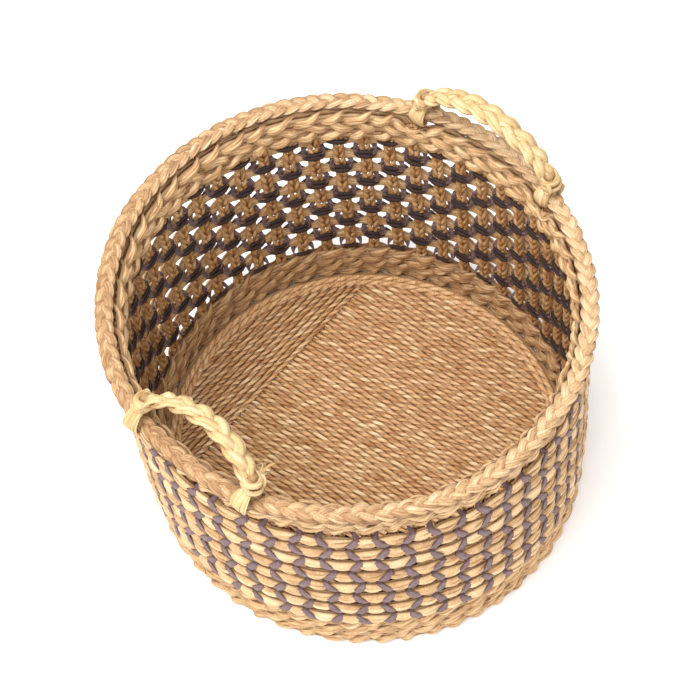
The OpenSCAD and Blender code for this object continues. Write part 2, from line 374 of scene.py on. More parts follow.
def fibre_material(
    name, tones, painted_shade_colour, streak=0.45, shade=0.35, blotch=0.35, edge=0.35, rough=0.62, relief=0.00025
):
    """Dried leaf: fibres run along it and it is blotched, and painted shade darkens it at its edges and
    where it dives.

    tones go from dark to light, crevice is the colour of the painted shade in the joints, and streak,
    shade and blotch say how much the fibres, the leaf's own shade and the blotches move the tone.
    """
    n = Nodes(name)
    along, over, through = n.attribute("fibre")
    own, rim, depth = n.attribute("leaf")
    seed = n.math("MULTIPLY", own, PATTERN_SPREAD)
    section = n.math("ADD", over, n.math("MULTIPLY", through, SIDE_STRETCH))

    def leaf_noise(scale, detail, roughness):
        scale_along, scale_across = scale
        x = n.math("MULTIPLY", along, scale_along)
        y = n.math("MULTIPLY", section, scale_across)
        return n.noise(n.vector(x, y, seed), 1.0, detail, roughness)

    fine = leaf_noise(FIBRE_SCALE, 4.0, 0.62)
    broad = leaf_noise(BLOTCH_SCALE, 2.0, 0.5)
    tone = n.math("ADD", 0.5, n.math("MULTIPLY", n.span(fine, *NOISE_SPAN, -0.5, 0.5), streak))
    tone = n.math("ADD", tone, n.math("MULTIPLY", n.span(broad, *NOISE_SPAN, -0.5, 0.5), blotch))
    tone = n.math("ADD", tone, n.math("MULTIPLY", n.math("SUBTRACT", own, 0.5), shade), clamp=True)
    colour = n.ramp(tone, tones)
    # Painted shade: the colour goes towards the shade colour at a leaf's edges and where the leaf lies
    # deep in the weave
    painted_shade_mix = n.math("MULTIPLY", n.math("POWER", rim, EDGE_SHADE_POWER), edge)
    painted_shade_mix = n.math("ADD", painted_shade_mix, depth, clamp=True)
    colour = n.mix(painted_shade_mix, colour, painted_shade_colour)
    n.set(n.shader.inputs["Base Color"], colour)
    n.set(n.shader.inputs["Roughness"], n.span(fine, 0.25, 0.75, rough - 0.1, rough + 0.12))
    n.set(n.shader.inputs["Normal"], n.bump(fine, 0.75, relief))
    n.shader.inputs["Specular IOR Level"].default_value = 0.3
    return n.material


def make_materials():
    """One dried leaf material for each material slot of the record."""
    # The second colour of each material is its painted shade, for leaf edges and places deep in the weave
    return {
        "straw": fibre_material(
            "straw",
            [srgb(148, 106, 66), srgb(200, 160, 114), srgb(218, 184, 138), srgb(232, 206, 168)],
            srgb(96, 58, 30),
            shade=0.5,
            edge=0.5,
        ),
        "ribbon": fibre_material(
            "ribbon",
            [srgb(74, 54, 54), srgb(106, 84, 86), srgb(128, 104, 104), srgb(156, 134, 132)],
            srgb(26, 18, 20),
            streak=0.8,
            shade=0.2,
            edge=0.35,
            rough=0.6,
            relief=0.0003,
        ),
        "upright_cords": fibre_material(
            "upright_cords",
            [srgb(136, 90, 50), srgb(186, 136, 86), srgb(212, 170, 118), srgb(232, 200, 154)],
            srgb(64, 32, 14),
            streak=0.6,
            edge=0.25,
            rough=0.5,
        ),
        "rim_plait": fibre_material(
            "rim_plait",
            [srgb(122, 86, 54), srgb(168, 132, 94), srgb(194, 162, 122), srgb(216, 192, 158)],
            srgb(92, 58, 32),
            shade=0.45,
            edge=0.55,
        ),
        "handle_plait": fibre_material(
            "handle_plait",
            [srgb(168, 130, 82), srgb(198, 166, 116), srgb(212, 186, 142), srgb(226, 208, 172)],
            srgb(116, 76, 36),
            streak=0.5,
            blotch=0.4,
            edge=0.45,
        ),
        "base_mat": fibre_material(
            "base_mat",
            [srgb(160, 108, 62), srgb(198, 152, 104), srgb(216, 178, 132), srgb(234, 206, 166)],
            srgb(96, 56, 28),
            streak=0.5,
            shade=0.35,
            blotch=0.8,
            edge=0.2,
        ),
    }


def floor_material():
    """Almost white paper."""
    n = Nodes("studio_floor")
    place = n.tree.nodes.new("ShaderNodeTexCoord").outputs["Object"]
    tint = n.ramp(n.noise(place, 40.0), [srgb(250, 250, 250), srgb(254, 254, 254)])
    n.set(n.shader.inputs["Base Color"], tint)
    n.shader.inputs["Roughness"].default_value = 0.9
    n.shader.inputs["Specular IOR Level"].default_value = 0.1
    return n.material


MATERIALS = make_materials()


# ---- Base mat ----------------------------------------------------------------

PLY_ORBIT = 1.3
PLY_WIDTH = 3.9
PLY_THICK = 3.0
ROUND_ORBIT = 1.5
ROUND_WIDTH = 4.8
MAT_TWIST = 23.0
MAT_STEP = 2.1
MAT_OVERRUN = 1.5
# A row narrows over this length at each end, and has at least so many rings
ROW_TAPER = 3.0
ROW_FEWEST_RINGS = 8
# How far the rows pass under the seam
SEAM_OVERLAP = 0.6
# Dark strips of painted shade under the rows and the rounds, which fill the joints between them
SHADE_STRIP_T = 1.6
ROW_SHADE_STRIP_DROP = 1.2
ROW_SHADE_STRIP_W = MAT_PITCH * 1.04
ROUND_SHADE_STRIP_W = 13.0
ROUND_SHADE_STRIP_OUT = 1.5
ROUND_SHADE_STRIP_Z = 1.3
# Clearance between the mat and the first round, and how much higher the second round lies
ROUND_CLEARANCE = 0.55
ROUND_LIFT = 0.4


def add_twisted_row(sheaf, start, end, hand):
    """Two plies twisted round each other along a straight row on the floor, over a dark strip of painted
    shade.
    """
    rng = sheaf.rng
    run = end - start
    length = np.linalg.norm(run)
    t = np.linspace(0, 1, max(ROW_FEWEST_RINGS, int(length / MAT_STEP)))
    middle = start + run * t[:, None]
    side = np.cross(UP, run / length)
    phase = TAU * (t * length / MAT_TWIST) * hand + rng.random() * TAU
    phase += wander(t, rng, 0.7, 1, 8)
    taper = np.clip(np.minimum(t, 1 - t) * length / ROW_TAPER, 0.4, 1)
    shade_strip = middle - UP * ROW_SHADE_STRIP_DROP
    sheaf.add(shade_strip, np.broadcast_to(side, shade_strip.shape), ROW_SHADE_STRIP_W, SHADE_STRIP_T, depth=0.7)
    for ply in range(2):
        turn = phase + ply * math.pi
        orbit = side * np.cos(turn)[:, None] - UP * np.sin(turn)[:, None]
        wobble = side * wander(t, rng, 0.25, 1, 14)[:, None] + UP * wander(t, rng, 0.15, 1, 20)[:, None]
        path = middle + orbit * PLY_ORBIT + wobble
        broad = np.cross(unit(tangents(path, False)), orbit)
        # Painted shade on the underside and at the sides of each ply
        depth = 0.3 * np.clip(-orbit[:, 2], 0, 1) + 0.3 * np.abs(orbit @ side) ** 5
        stitch = np.floor(turn / TAU).astype(int)
        tone = rng.random(np.ptp(stitch) + 1)[stitch - stitch.min()]
        size = taper * (1 + wander(t, rng, 0.05, 2, 20))
        sheaf.add(path, broad, PLY_WIDTH * size, PLY_THICK * size, section=ROUND, depth=depth, shade=tone)


def row_reach(offset):
    """Half length of a mat row that stays inside the mat's circle."""
    return math.sqrt((MAT_R + MAT_OVERRUN) ** 2 - offset**2)


def build_mat_rows():
    """Rows that run across the base as far as the seam, in a left and a right half."""
    rows = int((MAT_R - MAT_ROW_W / 2) / MAT_PITCH)
    seam_end = SEAM_Y - MAT_PITCH / 2 + SEAM_OVERLAP
    for half, indices in (("left", range(-rows, 0)), ("right", range(0, rows + 1))):
        sheaf = Sheaf(SEEDS[f"mat_{half}"])
        for i in indices:
            x = i * MAT_PITCH
            reach = row_reach(x)
            start = np.array([x, -reach, MAT_Z])
            end = np.array([x, min(reach, seam_end), MAT_Z])
            add_twisted_row(sheaf, start, end, 1)
        sheaf.build(f"base_mat_plies_{half}", "base_mat", BODY, "base_mat_rows")


def build_side_rows():
    """Rows beyond the seam, which run along it."""
    sheaf = Sheaf(SEEDS["side_rows"])
    for i in range(int((MAT_R - SEAM_Y - MAT_ROW_W / 2) / MAT_PITCH) + 1):
        y = SEAM_Y + i * MAT_PITCH
        reach = row_reach(y)
        add_twisted_row(sheaf, np.array([-reach, y, MAT_Z]), np.array([reach, y, MAT_Z]), -1)
    sheaf.build("base_side_plies", "base_mat", BODY, "base_side_rows")


def build_base_round(index, node):
    """A closed twisted row round the mat, over a dark strip of painted shade."""
    sheaf = Sheaf(SEEDS["rounds"] + index)
    radius = MAT_R + (index + 0.5) * MAT_PITCH + ROUND_CLEARANCE
    length = TAU * radius
    count = int(length / MAT_STEP)
    t = np.arange(count) / count
    out = np.stack([np.cos(TAU * t), np.sin(TAU * t), 0 * t], -1)
    phase = TAU * round(length / MAT_TWIST) * t
    shade_strip = out * (radius + ROUND_SHADE_STRIP_OUT) + UP * ROUND_SHADE_STRIP_Z
    sheaf.add(shade_strip, out, ROUND_SHADE_STRIP_W, SHADE_STRIP_T, closed=True, depth=0.6)
    for ply in range(2):
        turn = phase + ply * math.pi
        orbit = out * np.cos(turn)[:, None] + UP * np.sin(turn)[:, None]
        path = out * radius + UP * (MAT_Z + ROUND_LIFT * index) + orbit * ROUND_ORBIT
        broad = np.cross(unit(tangents(path, True)), orbit)
        # Painted shade on the underside of each ply
        depth = 0.3 * np.clip(-orbit[:, 2], 0, 1)
        tone = np.clip(0.5 + wander(t, sheaf.rng, 0.3, 10, 90), 0, 1)
        sheaf.add(path, broad, ROUND_WIDTH, PLY_THICK, True, ROUND, depth, tone)
    sheaf.build(f"{node}_plies", "base_mat", BODY, node)


def build_base():
    build_mat_rows()
    build_side_rows()
    build_base_round(0, "base_round_inner")
    build_base_round(1, "base_round_outer")


# ---- Upright cords -----------------------------------------------------------

CORD_PLY_ORBIT = 1.3
CORD_PLY_W = 3.9
CORD_PLY_T = 3.4
CORD_TWIST = 21.0
CORD_STEP = 2.2
# Half the distance between a pair's cords where a ribbon holds them, and what is added in between
CORD_APART = 2.25
CORD_SPLAY = 0.45
# How far the cords stand inside the pairs' own radius
CORD_INSET = 0.3


def gap_z(gap):
    """Height of the middle of a gap between straw rows, counted from 1 at the top."""
    return GAP_TOP_Z - (gap - 1) * GAP_PITCH


def build_stake_cords(name, side, node):
    """One cord of every upright pair. The two cords of a pair twist in opposite ways, like knitting."""
    sheaf = Sheaf(SEEDS["cords"] + side)
    rng = sheaf.rng
    count = int((STAKE_TOP_Z - STAKE_BOTTOM_Z) / CORD_STEP)
    z = np.linspace(STAKE_BOTTOM_Z, STAKE_TOP_Z, count)
    t = np.linspace(0, 1, count)
    for i in range(STAKES):
        first_laced = gap_z(2 - (i + 1) % 2)
        loose = 0.5 - 0.5 * np.cos(TAU * (z - first_laced) / (2 * GAP_PITCH))
        apart = CORD_APART + CORD_SPLAY * loose + wander(t, rng, 0.2, 1, 9)
        meander = wander(t, np.random.default_rng(SEEDS["pair_meander"] + i), 0.5, 1, 6)
        u = i + (side * apart + meander) / STAKE_PITCH
        middle, out = wall_path(u, z, STAKE_R - CORD_INSET + wander(t, rng, 0.25, 1, 9))
        along = np.cross(UP, out)
        phase = side * TAU * z / CORD_TWIST + rng.random() * 1.5 + wander(t, rng, 0.8, 1, 9)
        for ply in range(2):
            turn = phase + ply * math.pi
            orbit = along * np.cos(turn)[:, None] + out * np.sin(turn)[:, None]
            path = middle + orbit * CORD_PLY_ORBIT
            broad = np.cross(unit(tangents(path, False)), orbit)
            # Painted shade at the sides of each ply, where it turns behind the other
            depth = 0.3 * np.abs(np.cos(turn)) ** 3
            tone = np.clip(rng.random() + wander(t, rng, 0.35, 2, 12), 0, 1)
            width = CORD_PLY_W * (1 + wander(t, rng, 0.07, 2, 16))
            sheaf.add(path, broad, width, CORD_PLY_T, section=ROUND, depth=depth, shade=tone)
    sheaf.build(name, "upright_cords", BODY, node)


# ---- Laced middle ------------------------------------------------------------

STRAW_STEPS = 10
STRAW_R = 197.6
STRAW_BULGE = 2.7
STRAW_HEIGHT = 15.8
STRAW_WAIST = 6.2
STRAW_T = 2.4
# How far the inner leaves lie inside the outer ones' path
STRAW_INSET = 1.1
# Leaves of a row, outside and inside alike: share of the row's height, in order from below
STRAW_LEAVES = (0.36, 0.28, 0.36)
# Factor on an outer leaf's share of the height, so that the leaves overlap
STRAW_OVERLAP = 1.25


def pinch(u):
    """1 where a ribbon draws a straw row in, halfway between two pairs, and 0 at a pair."""
    return (0.5 - 0.5 * np.cos(TAU * u)) ** 1.5


def leaf_places(shares):
    """Middle of each leaf across a row, from -1 to 1."""
    return 2 * (np.cumsum(shares) - np.array(shares) / 2) / np.sum(shares) - 1


def build_straw_row(row):
    """Flat leaves that lie along the outside of the uprights, drawn in by the ribbon between them."""
    sheaf = Sheaf(SEEDS["straw"] + row)
    rng = sheaf.rng
    u = round_the_wall(STRAW_STEPS)
    t = u / STAKES
    drawn = pinch(u)
    middle_z = gap_z(row) - GAP_PITCH / 2 + wander(t, rng, 0.6, 2, 40)
    height = STRAW_HEIGHT - STRAW_WAIST * drawn
    shares = np.roll(STRAW_LEAVES, row)
    for share, place in zip(shares, leaf_places(shares)):
        z = middle_z + place * 0.42 * height + wander(t, rng, 0.5, 4, 70)
        crown = (1.0 + STRAW_BULGE * (1 - drawn)) * (1 - 0.7 * place**2)
        path, outward = wall_path(u, z, STRAW_R + crown + wander(t, rng, 0.3, 6, 80))
        roll = -place * (0.7 - 0.2 * drawn) + wander(t, rng, 0.16, 6, 60)
        wide = share * height * STRAW_OVERLAP + wander(t, rng, 0.35, 6, 60)
        tone = np.clip(rng.random() + wander(t, rng, 0.3, 8, 50), 0, 1)
        sheaf.add(path, across(path, outward, roll, True), wide, STRAW_T, closed=True, shade=tone)
    for share, place in zip(STRAW_LEAVES, leaf_places(STRAW_LEAVES)):
        z = middle_z + place * 0.38 * height + wander(t, rng, 0.3, 4, 70)
        radius = STRAW_R - STRAW_INSET + 0.5 * abs(place) + wander(t, rng, 0.15, 6, 80)
        path, outward = wall_path(u, z, radius)
        roll = place * 0.3 + wander(t, rng, 0.1, 6, 60)
        tone = np.clip(rng.random() + wander(t, rng, 0.3, 8, 50), 0, 1)
        side = across(path, outward, roll, True)
        sheaf.add(path, side, share * height, STRAW_T, closed=True, shade=tone)
    sheaf.build(f"straw_row_{row}_leaves", "straw", BODY, f"straw_row_{row}")


# One end of a ribbon's stretch behind a pair, from the pair outwards: distance along the wall, radius,
# rise towards the row, turn of its width from upright towards the slant, and share of the added width
RIBBON_KEYS = np.array([
    [0.0, 187.9, 0.0, 0.0, 0.5],
    [5.0, 188.2, -0.1, 0.0, 0.1],
    [9.6, 190.6, -0.4, 0.05, -0.9],
    [8.6, 195.4, 0.8, 0.6, -0.3],
    [6.4, 199.9, 1.7, 1.0, 1.0],
])
RIBBON_SLACK = 0.3
RIBBON_STACK = 2.5
RIBBON_INNER_W = 5.0
RIBBON_WIDE = 8.0
RIBBON_NARROW = 6.8
RIBBON_OUTER_R = 201.2
RIBBON_SLANT = math.radians(116)
RIBBON_CROSSING = math.radians(26)
RIBBON_T = 0.8
RIBBON_SHADED_R = 190.0
# Points between two keys, and how much farther out a ribbon lies in the gap under its row
RIBBON_SAMPLES = 4
RIBBON_LOWER_OUT = 0.7


def ribbon_keys(row, rng):
    """Keys of a ribbon's path: u, height, radius, and its width along the wall and up it."""
    keys = []
    row_z = gap_z(row) - GAP_PITCH / 2
    crossing_w = (RIBBON_WIDE + RIBBON_NARROW) / 2
    for i in range(STAKES):
        above = (i + row + 1) % 2 == 0
        rise = -1 if above else 1
        gap = gap_z(row if above else row + 1)
        z = gap + rise * RIBBON_STACK + rng.normal(0, 0.55)
        place = i + rng.normal(0, 0.025)
        farther = 0.0 if above else RIBBON_LOWER_OUT
        for end in (-1, 1):
            wide = RIBBON_WIDE if end * rise > 0 else RIBBON_NARROW
            steps = RIBBON_KEYS[::-1] if end < 0 else RIBBON_KEYS[1:]
            for s, radius, lift, turn, share in steps:
                angle = turn * RIBBON_SLANT
                width = RIBBON_INNER_W + (wide - RIBBON_INNER_W) * share
                tilt = (end * rise * math.sin(angle) * width, math.cos(angle) * width)
                u = place + end * s / STAKE_PITCH
                keys.append([u, z + rise * lift, radius + farther * (1 - turn), *tilt])
        tilt = (rise * math.cos(RIBBON_CROSSING) * crossing_w, -math.sin(RIBBON_CROSSING) * crossing_w)
        keys.append([i + 0.5, row_z, RIBBON_OUTER_R + rng.normal(0, 0.15), *tilt])
    return np.array(keys)


def build_ribbon(row):
    """A flat strip that laces a straw row to the uprights, once behind each pair."""
    sheaf = Sheaf(SEEDS["ribbons"] + row)
    curve = loop_spline(ribbon_keys(row, sheaf.rng), RIBBON_SAMPLES, STAKES, RIBBON_SLACK)
    path, outward = wall_path(curve[:, 0], curve[:, 1], curve[:, 2])
    side = np.cross(UP, outward) * curve[:, 3:4] + UP * curve[:, 4:5]
    width = np.linalg.norm(side, axis=1)
    # Painted shade where the ribbon runs inside the wall, behind the pairs
    depth = 0.75 * (curve[:, 2] < RIBBON_SHADED_R)
    tone = np.clip(0.5 + wander(curve[:, 0] / STAKES, sheaf.rng, 0.3, 20, 90), 0, 1)
    sheaf.add(path, side, width, RIBBON_T, closed=True, section=STRIP, depth=depth, shade=tone)
    sheaf.build(f"lacing_ribbon_{row}_strip", "ribbon", BODY, f"lacing_ribbon_{row}")


# ---- Twined bands ------------------------------------------------------------

TWINE_SWING = 4.8
TWINE_RISE = 3.7
TWINE_STEPS = 12
# Leaves of one strand: place across it, place through it, width and thickness
TWINE_LEAVES = (
    (-3.5, 0.0, 3.5, 2.7),
    (-1.2, 1.0, 3.6, 2.9),
    (1.2, 1.0, 3.4, 2.9),
    (3.5, 0.0, 3.5, 2.7),
    (0.0, -1.2, 10.6, 2.6),
)
# Straight leaves behind a strand's stitches: place across it, width and thickness
TWINE_FILLERS = ((-2.6, 5.6, 2.2), (2.6, 5.6, 2.2))
TWINE_FILLER_SWING = 2.3
# Painted shade on the leaves behind the stitches
TWINE_FILLER_SHADE = 0.4
# How far the rows are shifted from one another, in pairs
TWINE_SHIFT = 0.14
# Lowest height of a leaf's middle
TWINE_LOWEST_Z = 1.6
# Half the room left for a handle's tails along the rim, and across it
TAIL_ROOM = 12.5
TAIL_ROOM_ACROSS = 40.0
# The highest row's leaves there: the height from which they are pressed down, the share of the rest
# that they lose, and the share of their width that they lose
SQUEEZED_Z = 244.0
SQUEEZED_SHARE = 0.86
SQUEEZED_WIDTH = 0.76


def tail_dip(path):
    """How much the highest row gives way where a handle's tails pass through the wall, from 0 to 1."""
    dip = np.zeros(len(path))
    for spec in HANDLES.values():
        axes = HandleAxes(spec)
        for end in (-1, 1):
            tail = axes.place(end * axes.reach, 0.0, 0.0)
            apart = (path - tail) @ axes.hinge
            near = np.abs((path - tail) @ axes.out_flat) < TAIL_ROOM_ACROSS
            dip = np.maximum(dip, np.exp(-((apart / TAIL_ROOM) ** 6)) * near)
    return dip


def make_way_for_tails(path):
    """Presses a leaf of the highest row down at the tails, and returns the share of width it keeps."""
    dip = tail_dip(path)
    path[:, 2] -= dip * np.clip(path[:, 2] - SQUEEZED_Z, 0, None) * SQUEEZED_SHARE
    return 1 - SQUEEZED_WIDTH * dip


def build_twined_strand(band, row, strand, node):
    """A bundle of leaves that passes outside one pair and inside the next."""
    rows, first_z, pitch = BANDS[band]
    sheaf = Sheaf(SEEDS[f"{band}_band"] + 10 * row + strand)
    rng = sheaf.rng
    u = round_the_wall(TWINE_STEPS)
    t = u / STAKES
    jitter = wander(t, np.random.default_rng(SEEDS["row_jitter"] + row), 0.32, 8, 60)
    phase = math.pi * (u + row + strand + TWINE_SHIFT * (-1) ** row) + jitter
    hand = 1 if band == "bottom" or row % 2 else -1
    under_rim = band == "top" and row == rows
    swing = np.cos(phase)
    flat = np.abs(swing) ** 0.75
    out_in = np.sign(swing) * flat
    middle_z = first_z + (row - 1) * pitch + wander(t, rng, 0.35, 2, 30)
    spread = 0.78 + 0.22 * flat
    shaded_inside = 0.2 * (swing < 0) if band == "bottom" else 0.0
    for place, lift, width, thick in TWINE_LEAVES:
        level = place * spread + wander(t, rng, 0.4, 5, 80)
        z = middle_z + hand * TWINE_RISE * np.sin(phase) + level
        radius = STAKE_R + TWINE_SWING * out_in + lift * out_in
        radius = radius + wander(t, rng, 0.35, 8, 90)
        path, outward = wall_path(u, np.maximum(z, TWINE_LOWEST_Z), radius)
        kept = make_way_for_tails(path) if under_rim else 1.0
        roll = -0.14 * place * out_in + wander(t, rng, 0.16, 6, 90)
        side = across(path, outward, roll, True)
        tone = np.clip(rng.random() + wander(t, rng, 0.35, 10, 60), 0, 1)
        # Painted shade where the strand passes through the wall between pairs, on the leaf behind the
        # others, and inside the bottom band
        depth = 0.35 * (1 - flat) + (0.3 if lift < 0 else 0) + shaded_inside
        wide = width * (0.95 + 0.1 * flat) * kept
        sheaf.add(path, side, wide, thick, closed=True, depth=depth, shade=tone)
    filler_r = STAKE_R + (TWINE_FILLER_SWING if strand else -TWINE_FILLER_SWING)
    for place, width, thick in TWINE_FILLERS:
        z = middle_z + place + wander(t, rng, 0.3, 5, 70)
        path, outward = wall_path(u, z, filler_r + wander(t, rng, 0.2, 5, 70))
        kept = make_way_for_tails(path) if under_rim else 1.0
        side = across(path, outward, wander(t, rng, 0.2, 6, 90), True)
        tone = rng.random()
        sheaf.add(path, side, width * kept, thick, closed=True, depth=TWINE_FILLER_SHADE, shade=tone)
    sheaf.build(f"{node}_leaves", "straw", BODY, node)


def build_bands():
    for band, (rows, _, _) in BANDS.items():
        for row in range(1, rows + 1):
            for strand, place in enumerate(("inner", "outer")):
                build_twined_strand(band, row, strand, f"{band}_row_{row}_{place}_strand")


# ---- Plaits ------------------------------------------------------------------


# How much a plait's leaves curve away across a strand, and how much they turn with it
LEAF_CURVE = 0.09
LEAF_TURN = 0.09


def add_plait_strand(
    sheaf, path, broad, normal, strand, periods, size, leaves, closed, shape=1.0, paler=0.0
):
    """One of three strands of a flat plait about path.

    broad is the direction of the plait's width and normal that of its thickness. size is how far
    the strand swings each way, and leaves lists each leaf's place across the strand, width and
    thickness. shape scales the strand along its length, and paler is added to its tone.
    """
    rng = sheaf.rng
    count = len(path)
    t = np.arange(count) / (count if closed else count - 1)
    phase = TAU * (periods * t + strand / 3) + wander(t, rng, 0.12, 1, 14)
    swing, lift = size
    sideways = swing * np.sin(phase) * shape
    offset = broad * sideways[:, None] + normal * (lift * np.sin(2 * phase))[:, None]
    strand_path = path + offset
    heading = unit(tangents(strand_path, closed))
    side = unit(np.cross(normal, heading))
    face = np.cross(heading, side)
    for place, width, thick in leaves:
        drift = wander(t, rng, 0.35, 2, 60 if closed else 14)
        leaf_path = strand_path + side * (place + drift)[:, None] - face * (LEAF_CURVE * place**2)
        tone = np.clip(rng.random() + wander(t, rng, 0.25, 3, 18) + paler, 0, 1)
        # Painted shade where the strand dives under the others
        depth = 0.45 * np.clip(-np.sin(2 * phase), 0, 1) ** 2
        roll = LEAF_TURN * place + wander(t, rng, 0.13, 2, 50 if closed else 12)
        turned = side - face * roll[:, None]
        sheaf.add(leaf_path, turned, width * shape, thick * shape, closed=closed, depth=depth, shade=tone)


RIM_PERIODS = 34
RIM_STEPS = 18
RIM_SIZE = (4.0, 1.6)
RIM_LEAVES = ((-2.5, 3.4, 1.7), (-0.8, 3.5, 2.5), (1.0, 3.4, 2.4), (2.6, 3.2, 1.7))
RIM_LIFT = 0.4
# Side of the rim whose leaves are the darkest, and how much the tone changes towards it
RIM_DARKEST = math.radians(140)
RIM_DARKENING = 0.5
# Thick leaf under each side of the plait: how far down and sideways it lies, its width and thickness
RIM_UNDER_DROP = 5.0
RIM_UNDER_SHIFT = 2.9
RIM_UNDER_SIZE = (6.4, 7.0)
# Loose leaf ends inside and outside the rim. The outer ones are on this arc and on the opposite one.
LOOSE_INSIDE = 90
LOOSE_OUTSIDE = 16
LOOSE_ARC = (math.radians(30), math.radians(150))
LOOSE_OFFSET = 3.5
LOOSE_T = 0.9
# A loose end that bends less than this, in radians, is taken as straight
LOOSE_STRAIGHT = 0.1


def add_loose_ends(sheaf, outside):
    """Short leaf ends that stick out and curl under the rim plait, more of them inside than outside."""
    rng = sheaf.rng
    t = np.linspace(0, 1, 8)
    for _ in range(LOOSE_OUTSIDE if outside else LOOSE_INSIDE):
        if outside:
            angle = rng.uniform(*LOOSE_ARC) + math.pi * rng.integers(0, 2)
        else:
            angle = rng.uniform(0, TAU)
        length = rng.uniform(5, 11)
        bend = rng.uniform(-1.6, 1.6)
        run = length * np.sin(bend * t) / bend if abs(bend) > LOOSE_STRAIGHT else length * t
        turn = angle + run / RIM_R
        away = (1 if outside else -1) * (LOOSE_OFFSET + rng.uniform(0.5, 2.0) * np.sin(math.pi * t))
        out = np.stack([np.cos(turn), np.sin(turn), 0 * turn], -1)
        drop = rng.uniform(3.5, 6.5) + length * 0.45 * (1 - np.cos(bend * t)) + rng.uniform(0, 3) * t
        path = out * (RIM_R + away)[:, None] + UP * (RIM_Z - drop)[:, None]
        path[:, :2] += LEAN
        side = across(path, out, rng.uniform(-0.6, 0.6) + rng.uniform(-1.5, 1.5) * t)
        sheaf.add(path, side, rng.uniform(1.8, 3.4) * (1 - 0.55 * t), LOOSE_T)


def rim_path(angle):
    """The middle of the rim plait, which wanders a little, and the outward direction at each point."""
    t = angle / TAU
    out = np.stack([np.cos(angle), np.sin(angle), 0 * angle], -1)
    height = RIM_Z + RIM_LIFT + wander(t, np.random.default_rng(SEEDS["rim_height"]), 0.5, 2, 12)
    radius = RIM_R + wander(t, np.random.default_rng(SEEDS["rim_radius"]), 0.5, 2, 12)
    path = out * radius[:, None] + UP * height[:, None]
    path[:, :2] += LEAN
    return path, out


def build_rim():
    """The rim plait's three strands. The inner and the outer one each have a thick leaf under them."""
    count = RIM_PERIODS * RIM_STEPS
    angle = TAU * np.arange(count) / count
    path, out = rim_path(angle)
    plait = (path, out, np.broadcast_to(UP, out.shape))
    paler = -RIM_DARKENING * np.cos(angle - RIM_DARKEST)
    for strand, (place, under_side) in enumerate((("top", 0), ("inner", -1), ("outer", 1))):
        node = f"rim_plait_{place}_strand"
        sheaf = Sheaf(SEEDS["rim"] + strand)
        add_plait_strand(sheaf, *plait, strand, RIM_PERIODS, RIM_SIZE, RIM_LEAVES, True, paler=paler)
        if under_side:
            under = path - UP * RIM_UNDER_DROP + out * RIM_UNDER_SHIFT * under_side
            tone = np.clip(0.5 + wander(angle / TAU, sheaf.rng, 0.3, 8, 90), 0, 1)
            # The thick leaf under the plait takes a little painted shade
            sheaf.add(under, out, *RIM_UNDER_SIZE, closed=True, section=ROUND, depth=0.2, shade=tone)
            add_loose_ends(sheaf, under_side > 0)
        sheaf.build(f"{node}_leaves", "rim_plait", BODY, node)


# ---- Handles -----------------------------------------------------------------

KNOT_Z = 16.5
TAIL_R = 11.2
GRIP_SIZE = (5.5, 2.1)
GRIP_LEAVES = ((-3.1, 5.2, 2.3), (0.0, 6.8, 3.6), (3.2, 5.0, 2.3))
GRIP_STEPS = 34
# How far the grip's arc runs on into the knots, in radians
GRIP_OVERRUN = 0.06
# Direction from the middle, half the angle between the ends, height of the grip, outward lean, turns
# of the plait, and random seeds of the grip, the knots and the tails
HANDLES = {
    "right_handle": {
        "azimuth": 0.0,
        "half": 19.6,
        "apex": 54.0,
        "lean": 0.0,
        "periods": 3.0,
        "seeds": {"grip": 420, "knots": 484, "tails": 584},
    },
    "left_handle": {
        "azimuth": 180.0,
        "half": 16.5,
        "apex": 46.0,
        "lean": -22.0,
        "periods": 2.5,
        "seeds": {"grip": 410, "knots": 477, "tails": 577},
    },
}


class HandleAxes:
    """A handle's own axes: along its hinge line, up the handle, and outwards."""

    def __init__(self, spec):
        azimuth, half, lean = (math.radians(spec[key]) for key in ("azimuth", "half", "lean"))
        self.out_flat = np.array([math.cos(azimuth), math.sin(azimuth), 0.0])
        self.hinge = np.array([-math.sin(azimuth), math.cos(azimuth), 0.0])
        self.up = UP * math.cos(lean) + self.out_flat * math.sin(lean)
        self.out = self.out_flat * math.cos(lean) - UP * math.sin(lean)
        self.origin = np.array([*LEAN, RIM_Z]) + self.out_flat * RIM_R * math.cos(half)
        self.reach = RIM_R * math.sin(half)

    def place(self, x, y, z):
        """Points at x along the hinge line, y up the handle and z outwards."""
        x, y, z = (np.atleast_1d(np.asarray(v, float))[:, None] for v in (x, y, z))
        return self.origin + x * self.hinge + y * self.up + z * self.out


def grip_arc(axes, apex, count):
    """Points of the grip's arc from knot to knot, and the direction away from its centre at each."""
    rise = apex - KNOT_Z
    radius = (axes.reach**2 + rise**2) / (2 * rise)
    centre_y = apex - radius
    start = math.atan2(KNOT_Z - centre_y, axes.reach) - GRIP_OVERRUN
    angle = np.linspace(start, math.pi - start, count)
    path = axes.place(radius * np.cos(angle), centre_y + radius * np.sin(angle), 0)
    away = np.cos(angle)[:, None] * axes.hinge + np.sin(angle)[:, None] * axes.up
    return path, away


def build_grip(name, spec, axes):
    """Three plaited strands that narrow towards the knots."""
    count = int(spec["periods"] * GRIP_STEPS)
    path, away = grip_arc(axes, spec["apex"], count)
    plait = (path, np.broadcast_to(axes.out, path.shape), away)
    periods = spec["periods"]
    t = np.linspace(0, 1, count)
    taper = np.clip(0.62 + 3.0 * np.minimum(t, 1 - t), 0, 1)
    for strand, place in enumerate(("upper", "inner", "outer")):
        node = f"{name}_{place}_strand"
        sheaf = Sheaf(spec["seeds"]["grip"] + strand)
        add_plait_strand(sheaf, *plait, strand, periods, GRIP_SIZE, GRIP_LEAVES, False, taper)
        sheaf.build(f"{node}_leaves", "handle_plait", name, node)


